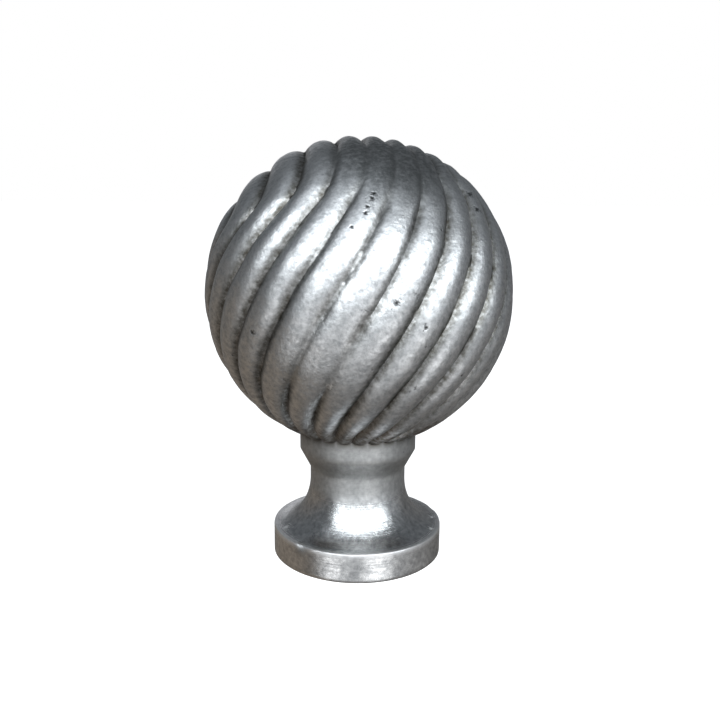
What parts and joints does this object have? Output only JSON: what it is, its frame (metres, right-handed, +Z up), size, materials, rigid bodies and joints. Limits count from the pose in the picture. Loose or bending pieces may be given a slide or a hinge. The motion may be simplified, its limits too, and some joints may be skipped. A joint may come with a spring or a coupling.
{
  "type": "ball post cap",
  "caption": "Round finial for a post or railing: a ball with twisted convex reeds on a short turned neck and a flat round foot, cast in one piece.",
  "frame": {"origin": "centre of the flat underside of the foot", "axes": "+Z up the axis of the foot, neck and ball; the pictured side faces -Y"},
  "size_m": [0.0798, 0.0799, 0.1112],
  "materials": {
    "cast_aluminium": "bare casting, satin and mottled on the ball, turned on the stem and foot"
  },
  "bodies": {
    "root": {"ball_post_cap": "cast_aluminium"}
  },
  "joints": []
}
